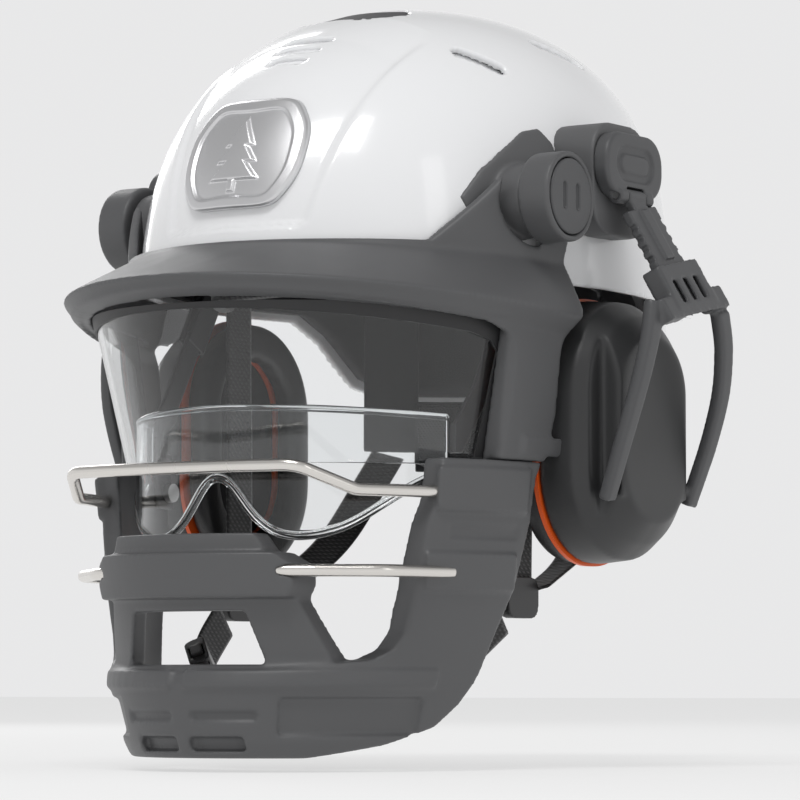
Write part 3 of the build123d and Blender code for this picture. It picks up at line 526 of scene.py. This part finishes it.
shell = dome_object("shell_moulded", 0.0, -SHELL_WALL, shell_edge, shape=panelled)
cut(shell, *vent_cutters())
soften(shell, 1.3, 4)
shell_points = points_of(shell)
depths = band_depth(shell_points[:, 0], shell_points[:, 1], shell_points[:, 2])
shell_points = settle(shell_points, -depths, 0.7)
shell_points = settle(shell_points, -SHELL_WALL - depths, 0.7)
shell_points = true_edge(shell_points)
fit(smooth(move_points(shell, shell_points)), "outer_shell")

liner = dome_object("liner_moulded", -5.5, -10.5, lambda y: shell_edge(y) + 3.0, 120, 40)
fit(smooth(liner), "shell_liner")
moulded("crown_vent_insert", 0.8, 5)


# ---------------------------------------------------------------- badge
def front_y(x, z, offset):
    """Where the shell's front stands at (x, z)."""
    share = min(max((z - SPRING_Z) / (SHELL_TOP + offset - SPRING_Z), 0.0), 0.99)
    narrow = (1 - share ** DOME_POWER) ** (1 / DOME_POWER)
    inside = max(0.0, 1 - (x / ((SHELL_X + offset) * narrow)) ** 2)
    return CROWN_SHIFT * share - (SHELL_Y + offset) * narrow * inside ** 0.5


def ramp(value, width):
    """0 to 1 across a width, with soft ends."""
    t = min(max(value / width + 0.5, 0.0), 1.0)
    return t * t * (3 - 2 * t)


def conifer(x, z):
    """Raised fir tree: three tiers over a trunk."""
    best = min(2.0 - abs(x), z - 94.0, 100.0 - z)
    for low, high, half in ((99.0, 113.0, 12.5), (106.5, 119.5, 10.0), (113.5, 126.5, 7.5)):
        edge = half * (high - z) / (high - low) - abs(x)
        best = max(best, min(0.75 * edge, z - low))
    return best


BADGE_Z = 110.5
BADGE = [(-20, 87), (20, 87), (29, 100), (29, 121), (19, 134), (-19, 134), (-29, 121), (-29, 100)]


def badge_reach(angle):
    """Distance from the badge's centre to its rounded outline."""
    direction = (cos(angle), sin(angle))
    total = 0.0
    for i, (x0, z0) in enumerate(BADGE):
        x1, z1 = BADGE[(i + 1) % len(BADGE)]
        nx, nz = z1 - z0, x0 - x1
        size = (nx * nx + nz * nz) ** 0.5
        gap = (nx * x0 + nz * (z0 - BADGE_Z)) / size
        facing = (nx * direction[0] + nz * direction[1]) / size / gap
        total += max(facing, 0.0) ** 14
    return total ** (-1 / 14)


badge_rows = []
for r in list(np.linspace(0.004, 1.0, 72)) + [1.012, 1.012]:
    row = []
    for k in range(240):
        angle = 2 * pi * k / 240
        reach = badge_reach(angle)
        x, z = min(r, 1.0) * reach * cos(angle), BADGE_Z + min(r, 1.0) * reach * sin(angle)
        edge = (1.0 - min(r, 1.0)) * reach
        height = 1.0 + 1.6 * ramp(5.2 - edge, 1.6) - 0.9 * ramp(0.6 - edge, 1.2)
        height += 1.5 * ramp(conifer(x, z) - 0.4, 1.4)
        sunk = 1.2 if len(badge_rows) < 73 else 4.6
        row.append((x, front_y(x, z, 0.0) - height + sunk, z))
    badge_rows.append(row)
fit(tube_object("badge_moulded", badge_rows, True), "badge")

# ---------------------------------------------------------------- pivots and muff mounts
for side in SIDES:
    moulded("pivot_base_" + side, 0.7, 14)
    moulded("muff_mount_" + side, 0.9, 6)
    moulded("pivot_cap_" + side, 0.42, 3)


# ---------------------------------------------------------------- face guard
def guard_slab(name, angles, heights, depth, side=1.0):
    """Curved block on the guard's surface, between two turns from the front, two heights and two offsets."""
    steps = 14
    turns = np.linspace(radians(angles[0]), radians(angles[1]), steps)
    levels = np.linspace(heights[0], heights[1], 5)
    loops = []
    for turn in turns:
        loop = []
        for offset, order in ((depth[1], levels), (depth[0], levels[::-1])):
            for z in order:
                half_x = np.interp(z, GUARD_RINGS[:, 0], GUARD_RINGS[:, 1]) + offset
                half_y = np.interp(z, GUARD_RINGS[:, 0], GUARD_RINGS[:, 2]) + offset
                loop.append((side * half_x * sin(turn), GUARD_Y - half_y * cos(turn), z))
        loops.append(loop)
    return tube_object(name, loops, True)


brim_extra, chin_extra, chin_cuts = [], [], []
for sign in (1.0, -1.0):
    brim_extra.append(guard_slab("lower_collar", (77.5, 91.5), (-12.5, -5.0), (-2.5, 1.1), sign))
    chin_extra += [
        guard_slab("upper_band", (58.5, 80.0), (-36.0, -18.5), (-3.0, 1.9), sign),
        guard_slab("lower_band", (56.5, 78.0), (-67.5, -52.5), (-3.0, 1.9), sign),
        guard_slab("lip", (2.0, 62.0), (-106.5, -99.0), (-3.0, 1.5), sign),
    ]
    chin_cuts += [
        guard_slab("side_recess", (27.0, 60.0), (-125.0, -110.0), (-2.2, 4.0), sign),
        guard_slab("bar_groove", (3.0, 22.0), (-119.5, -115.5), (-1.8, 4.0), sign),
        guard_slab("cheek_groove", (61.5, 78.5), (-47.0, -41.5), (-1.1, 4.0), sign),
    ]
SEAT = ((100.6, 131.3, -1.5), (108.5, 141.5, 0.4), (108.5, 141.5, 3.4), (100.6, 131.3, 1.6))
seal_loops = []
for angle in np.linspace(radians(-82), radians(82), 80):
    run = []
    for half_x, half_y, rise in SEAT:
        y = GUARD_Y - half_y * cos(angle)
        z = float(np.interp(y, [-178, -165, -114, -88], [50.6, 48.8, 44.5, 42.0]))
        run.append((half_x * sin(angle), y, z + rise))
    seal_loops.append(run)
brim_extra.append(tube_object("visor_seat", seal_loops, True))
pad_points = [(-34, -64.5), (34, -64.5), (34, -63.0), (-34, -63.0)]
chin_cuts.append(prism_object("pad_groove", pad_points, (0, 0, 0), (1, 0, 0), (0, -1, 0), (168.6, 190)))
moulded("brim_frame", 0.9, 5, brim_extra, fine=0.5)
moulded("chin_guard", 0.85, 5, chin_extra, chin_cuts, fine=0.48)

# ---------------------------------------------------------------- visor
def visor_point(share, rise, inset):
    """Point of the visor: share from side to side, rise from lower to upper edge."""
    z = -17.0 + 62.0 * rise
    grow = (z + 22.0) / 70.0
    half_x, half_y = 90.8 + 9.5 * grow - inset, 105.7 + 25.2 * grow - inset
    turn = share * acos(34.0 / half_y)
    y = GUARD_Y - half_y * cos(turn)
    top = float(np.interp(y, [-190, -120, -70], [46, 45, 44]))
    return (half_x * sin(turn), y, z + (top - 45.0) * rise)


visor_rises = [0.0, 0.006, 0.012] + list(np.linspace(0.03, 0.97, 22)) + [0.988, 0.994, 1.0]
visor_loops = []
for share in [-1.0, -0.997] + list(np.linspace(-0.99, 0.99, 180)) + [0.997, 1.0]:
    loop = [visor_point(share, rise, 0.0) for rise in visor_rises]
    visor_loops.append(loop + [visor_point(share, rise, 2.0) for rise in visor_rises[::-1]])
fit(tube_object("visor_lens_polished", visor_loops, True), "visor_lens")

# ---------------------------------------------------------------- glasses
LENS_X = [0, 4, 8, 14, 22, 30, 38, 46, 54, 64, 73, 80]
LENS_LOW = [-21.5, -22.3, -25.5, -34.5, -42.5, -45.6, -46.0, -44.2, -40.5, -31.5, -22.5, -17.0]


def lens_low(x):
    """Lower edge of the glasses, with its nose arch rounded."""
    near = [np.interp(abs(x + d), LENS_X, LENS_LOW) for d in (-4, -2, 0, 2, 4)]
    return float(np.mean(near))


def lens_point(angle, radius, z):
    """Point of the glasses' round front."""
    return (radius * sin(angle), GLASSES_Y - radius * cos(angle), z)


lens_loops, rim_low, rim_high = [], [], []
for angle in np.linspace(radians(-68.5), radians(68.5), 150):
    x = GLASSES_R * sin(angle)
    low, high = lens_low(x), 7.0 - 0.0006 * x * x
    levels = np.linspace(low, high, 24)
    loop = [lens_point(angle, GLASSES_R, z) for z in levels]
    loop += [lens_point(angle, GLASSES_R - 2.4, z) for z in levels[::-1]]
    lens_loops.append(loop)
    rim_low.append(Vector(lens_point(angle, GLASSES_R - 1.2, low)))
    rim_high.append(Vector(lens_point(angle, GLASSES_R - 1.2, high - 1.0)))


def rod_object(name, path, radius, sides=14):
    """Round rod along a path."""
    loops = []
    for i, p in enumerate(path):
        along = (path[min(i + 1, len(path) - 1)] - path[max(i - 1, 0)]).normalized()
        out = along.cross(Vector((0, 0, 1))).normalized()
        up = out.cross(along).normalized()
        loops.append([
            tuple(p + out * radius * cos(2 * pi * k / sides) + up * radius * sin(2 * pi * k / sides))
            for k in range(sides)
        ])
    return tube_object(name, loops, True)


lens = tube_object("glasses_lens_polished", lens_loops, True)
merge(lens, rod_object("rim", rim_low, 1.9), rod_object("rim", rim_high, 1.5))
fit(smooth(lens), "glasses_lens")
for side in SIDES:
    moulded("glasses_arm_" + side, 0.45, 3)
moulded("glasses_tracks", 0.6, 3)


# ---------------------------------------------------------------- straps
def rounded_path(points, bend, step=2.0):
    """Points along a line whose corners are rounded by `bend`."""
    points = [Vector(p) for p in points]
    path = [points[0]]
    for i in range(1, len(points) - 1):
        before, here, after = points[i - 1], points[i], points[i + 1]
        reach = min(bend, (here - before).length * 0.45, (after - here).length * 0.45)
        a, b = here + (before - here).normalized() * reach, here + (after - here).normalized() * reach
        path += [a * (1 - t) ** 2 + here * 2 * t * (1 - t) + b * t * t for t in [k / 10.0 for k in range(11)]]
    path.append(points[-1])
    dense = []
    for a, b in zip(path, path[1:]):
        count = max(1, int((b - a).length / step))
        dense += [a.lerp(b, k / count) for k in range(count)]
    return dense + [path[-1]]


def strap_object(name, path, across, width, wall):
    """Webbing along a path: a flat woven band with thicker selvedges."""
    across = Vector(across).normalized()
    section = []
    for u in np.linspace(-1.0, 1.0, 13):
        selvedge = (0.82 + 0.18 * (abs(u) > 0.8)) * (1.0 if abs(u) < 1 else 0.45)
        section.append((u * width / 2.0, wall / 2.0 * selvedge))
    section += [(u, -v) for u, v in section[::-1]]
    loops = []
    for i, p in enumerate(path):
        along = (path[min(i + 1, len(path) - 1)] - path[max(i - 1, 0)]).normalized()
        out = along.cross(across).normalized()
        loops.append([tuple(p + across * u + out * v) for u, v in section])
    return tube_object(name, loops, True)


def crown_path(rise, turn):
    """Arc of a strap over the crown."""
    heading = Vector((sin(turn), cos(turn), 0))
    path = []
    for k in range(73):
        a = radians(8.0) + (pi - 2 * radians(8.0)) * k / 72.0
        path.append(Vector((0, -1, 82.0)) + heading * 76.0 * cos(a) + Vector((0, 0, rise - 0.6)) * sin(a))
    return path


crown = []
for rise, turn in ((59.0, radians(38)), (57.4, radians(-38))):
    crown.append(strap_object("crown_webbing", crown_path(rise, turn), (cos(turn), -sin(turn), 0), 18.0, 1.2))
fit(smooth(merge(crown[0], crown[1])), "crown_straps")

temple, neck = [], []
for sign in (1.0, -1.0):
    run = [(72.9 * sign, -24, 66), (72.9 * sign, -24, 10), (71.8 * sign, -24, -62)]
    temple.append(strap_object("temple_webbing", rounded_path(run, 40), (0, 1, 0), 18.0, 1.2))
    run = [(70.5 * sign, -12, -66), (66 * sign, 34, -48), (54.5 * sign, 66, -1.5)]
    a, b, c = [Vector(p) for p in run]
    neck.append(strap_object("neck_webbing", rounded_path(run, 22), (b - a).cross(c - a), 18.0, 1.2))
fit(smooth(merge(temple[0], temple[1])), "temple_straps")
fit(smooth(merge(neck[0], neck[1])), "neck_straps")

CHIN_ORIGIN, CHIN_OUT = Vector((0, -37.5, -77.5)), Vector((0, 0.6, -0.8))
CHIN_UP = CHIN_OUT.cross(Vector((1, 0, 0)))


def chin_point(u, v):
    """Point of the chin strap's sloping plane."""
    return CHIN_ORIGIN + Vector((u, 0, 0)) + CHIN_UP * v


chin_left = [chin_point(*p) for p in ((70.6, -1.2), (63, 36), (24, 72), (-24, 72), (-35, 61.5))]
fit(strap_object("chin_webbing_left", rounded_path(chin_left, 13), CHIN_OUT, 18.0, 1.4), "chin_strap_left")
chin_right = [chin_point(*p) for p in ((-70.6, -1.2), (-67.5, 18), (-64, 30))]
fit(strap_object("chin_webbing_right", rounded_path(chin_right, 8), CHIN_OUT, 18.0, 1.4), "chin_strap_right")
for node in ("buckle_socket", "buckle_plug", "buckle_tab_lower", "buckle_tab_upper"):
    moulded(node, 0.4, 3)
moulded("chin_cup", 0.6, 6)
for side in SIDES:
    moulded("strap_divider_" + side, 0.5, 4)

# ---------------------------------------------------------------- headband, pads and nape fitting
moulded("headband", 0.9, 2)
moulded("suspension_clips", 0.8, 5)
moulded("nape_cradle", 0.75, 3)
moulded("ratchet_housing", 0.7, 6)
moulded("nape_wheel", 0.5, 3)
for node, voxel, rounds in (("brow_pad", 1.1, 14), ("nape_pad", 0.9, 12)):
    pad = soften(copy_of(node, node + "_sewn"), voxel, rounds)
    pad_co = points_of(pad)
    turn = np.degrees(np.arctan2(pad_co[:, 0], -pad_co[:, 1] if node == "brow_pad" else pad_co[:, 1]))
    seam = np.exp(-(((turn + 9.0) % 18.0 - 9.0) / 1.1) ** 2)
    inward = pad_co.copy()
    inward[:, 2] = 0.0
    inward /= np.linalg.norm(inward, axis=1)[:, None]
    face = np.clip(-np.einsum("ij,ij->i", inward, np.array([v.normal for v in pad.data.vertices])), 0, 1)
    pad_co += inward * (face * (1.6 * seam - 0.5))[:, None]
    fit(move_points(pad, pad_co), node)

CROWN_PAD = (
    (0.3, 124.3), (24, 124.2), (27, 125.4), (28, 128.4), (27, 131.4), (24, 133.0), (18, 133.4),
    (10, 132.6), (0.3, 132.4),
)
pad_loops = []
for r, z in CROWN_PAD:
    sewn = 0.5 if 2 < r < 25 and z > 128 else 0.0
    pad_loops.append([
        (r * cos(2 * pi * k / 64), r * sin(2 * pi * k / 64), z - (0.0 if k % 8 else sewn))
        for k in range(64)
    ])
crown_pad = tube_object("crown_pad_sewn", pad_loops, True)
fit(crown_pad, "crown_pad")

# ---------------------------------------------------------------- ear muff arms
ARM_DOWN = Vector((0.42, 0.20, -0.885)).normalized()


def arm_axes(sign):
    """Origin and directions of an arm: across, down and outward."""
    down = Vector((ARM_DOWN.x * sign, ARM_DOWN.y, ARM_DOWN.z))
    out = down.cross(Vector((0, sign, 0))).normalized()
    return Vector((117.0 * sign, -8.0, 96.0)), down.cross(out).normalized(), down, out


def arm_block(name, sign, across, down, outward):
    """Block in an arm's own directions."""
    origin, side_way, down_way, out_way = arm_axes(sign)
    corners = [(across[0], down[0]), (across[1], down[0]), (across[1], down[1]), (across[0], down[1])]
    loops = [
        [tuple(origin + side_way * a + down_way * d + out_way * o) for a, d in corners] for o in outward
    ]
    return tube_object(name, loops, True)


def bar_object(name, path, across, wide, narrow, wall):
    """Bar along a path that tapers from wide to narrow, with rounded edges."""
    across = Vector(across).normalized()
    section = [point[:2] for point in rounded_loop(wide / 2, wall / 2, 1.6, 4)]
    loops = []
    for i, p in enumerate(path):
        along = (path[min(i + 1, len(path) - 1)] - path[max(i - 1, 0)]).normalized()
        out = along.cross(across).normalized()
        side_way = out.cross(along).normalized() * (1 + (narrow / wide - 1) * i / (len(path) - 1))
        loops.append([tuple(p + side_way * u + out * v) for u, v in section])
    return tube_object(name, loops, True)


for side, sign in SIDES.items():
    hub_place = ((0, -8, 109.5), (0, 1, 0), (sign, 0, 0))
    hub_groove = prism_object("hub_groove", slot_outline(30, 15), *hub_place, (118.0, 125))
    hub_ridge = prism_object("hub_ridge", slot_outline(22, 7.4), *hub_place, (116.0, 119.0))
    moulded("muff_hub_" + side, 0.55, 4, [hub_ridge], [hub_groove])
    notches = [arm_block("notch", sign, (-16, -11.7), (d, d + 2.4), (-6, 6)) for d in (12, 17, 22, 27)]
    notches += [arm_block("notch", sign, (11.7, 16), (d, d + 2.4), (-6, 6)) for d in (12, 17, 22, 27)]
    moulded("muff_arm_" + side, 0.55, 3, [], notches)
    yoke = arm_block("muff_yoke_moulded_" + side, sign, (-19, 19), (32.5, 53), (-4.4, 4.4))
    bars = [arm_block("crossbar", sign, (-29, 29), (46, 56), (-2.6, 4.0))]
    for lean in (1.0, -1.0):
        leg = [(27.0, 50, 138.6), (30.0, 37, 139.0), (33.5, 18, 136.0), (34.5, -3, 129.5), (33.0, -30, 119.5)]
        path = rounded_path([(sign * x, lean * y, z) for y, z, x in leg], 12)
        bars.append(bar_object("leg", path, (0, 1, 0), 10.0, 7.5, 5.4))
        bars.append(prism_object(
            "pivot", slot_outline(4.02, 4.0), (sign * 119.5, 0, -24), (1, 0, 0), (0, 1, 0),
            sorted((lean * 19.5, lean * 33)),
        ))
    soften(merge(yoke, *bars), 0.75, 0)
    windows = [arm_block("window", sign, (a - 2.4, a + 2.4), (40.0, 50.0), (1.6, 9.0)) for a in (-10, 0, 10)]
    windows.append(arm_block("channel", sign, (-13.5, 13.5), (20, 60), (-2.5, 2.5)))
    fit(soften(cut(yoke, *windows), 0.75, 5), "muff_yoke_" + side)

# ---------------------------------------------------------------- ear cups
for side, sign in SIDES.items():
    ledge = [point[:2] for point in rounded_loop(46, 59, 42)]
    hollow = [point[:2] for point in rounded_loop(41.4, 54.4, 39.4)]
    outer_ring = prism_object("ledge", ledge, (0, 0, 0), (0, 1, 0), (sign, 0, 0), (94.6, 95.6))
    inner_ring = prism_object("ledge_core", hollow, (0, 0, 0), (0, 1, 0), (sign, 0, 0), (93.6, 96.6))
    moulded("ear_cup_" + side, 1.0, 9, [], [cut(outer_ring, inner_ring)])
    loops = []
    path = rounded_loop(33.2, 46.2, 31.5, 18)
    for i, (y, z, ny, nz) in enumerate(path):
        loop = []
        along = 2 * pi * i / len(path)
        for k in range(28):
            a = 2 * pi * k / 28
            u, v = cos(a), sin(a)
            ru = 7.8 * abs(u) ** 0.75 * (1 if u > 0 else -1)
            rv = 5.2 * abs(v) ** 0.62 * (1 if v > 0 else -1)
            crease = 0.35 * sin(17 * along + 2.0 * sin(5 * along)) * max(0.0, -u) ** 2
            loop.append((sign * (84.75 + rv - crease * 0.5), y + ny * (ru + crease), z + nz * (ru + crease)))
        loops.append(loop)
    cushion = tube_object("ear_cushion_sewn_" + side, loops, False)
    fit(cushion, "ear_cushion_" + side)
    foam = soften(copy_of("cup_foam_" + side, "cup_foam_cut_" + side), 1.2, 5)
    fit(foam, "cup_foam_" + side)

# ---------------------------------------------------------------- CAD pieces that show as they are
for name, obj in nodes.items():
    if not obj.hide_render:
        obj.data.materials.clear()
        obj.data.materials.append(MATERIALS[NODE_SLOT[name]])

# ---------------------------------------------------------------- floor, light and camera
floor_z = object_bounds()[0][2] / MM - 5.5
FLOOR_HALF = 9000
corners = [(-1, -1), (1, -1), (1, 1), (-1, 1)]
floor = new_object("floor", [(FLOOR_HALF * u, FLOOR_HALF * v, floor_z) for u, v in corners], [(0, 1, 2, 3)])
floor_mat = material(
    "floor", (0.3, 0.3, 0.3), 0.95, bump=0.0, spread=0.02,
    sockets={"Emission Color": (1, 1, 1, 1), "Emission Strength": 0.6, "Specular IOR Level": 0.0},
)
floor.data.materials.append(floor_mat)

world = bpy.data.worlds.new("studio")
bpy.context.scene.world = world
world.use_nodes = True
sky = world.node_tree
heading = sky.nodes.new("ShaderNodeTexCoord")
split = sky.nodes.new("ShaderNodeSeparateXYZ")
sky.links.new(heading.outputs["Generated"], split.inputs["Vector"])
height = sky.nodes.new("ShaderNodeMapRange")
height.interpolation_type = "SMOOTHSTEP"
height.inputs["From Min"].default_value = 0.22
height.inputs["From Max"].default_value = 0.6
height.inputs["To Min"].default_value = 0.81
height.inputs["To Max"].default_value = 0.42
sky.links.new(split.outputs["Z"], height.inputs["Value"])
sky.links.new(height.outputs["Result"], sky.nodes["Background"].inputs["Strength"])
sky.nodes["Background"].inputs["Color"].default_value = (1.0, 1.0, 1.006, 1.0)


def area_light(name, place, aim, size, power):
    """Soft rectangular light, metres and watts."""
    data = bpy.data.lights.new(name, "AREA")
    data.shape = "RECTANGLE"
    data.size, data.size_y = size
    data.energy = power
    lamp = bpy.data.objects.new(name, data)
    bpy.context.scene.collection.objects.link(lamp)
    lamp.location = place
    lamp.rotation_euler = (Vector(aim) - Vector(place)).to_track_quat("-Z", "Y").to_euler()
    return lamp


area_light("key", (0.5, -1.3, 2.1), (0, 0, 0.05), (1.1, 0.7), 24)
area_light("side", (1.9, -0.5, 0.9), (0, 0, 0.05), (0.3, 1.2), 1.5)
area_light("rim", (-1.4, 0.9, 0.9), (0, 0, 0.05), (0.4, 1.2), 6)

turn, rise, distance = radians(34.0), radians(-4.1), 1.717
back = Vector((sin(turn) * cos(rise), -cos(turn) * cos(rise), sin(rise)))
camera_data = bpy.data.cameras.new("camera")
camera_data.lens = 180.0
camera_data.sensor_width = 36.0
camera_data.clip_end = 100.0
camera = bpy.data.objects.new("camera", camera_data)
bpy.context.scene.collection.objects.link(camera)
camera.location = Vector((0, -0.006, 0.017)) + back * distance
camera.rotation_euler = back.to_track_quat("Z", "Y").to_euler()
bpy.context.scene.camera = camera
bpy.context.scene.view_settings.view_transform = "Standard"
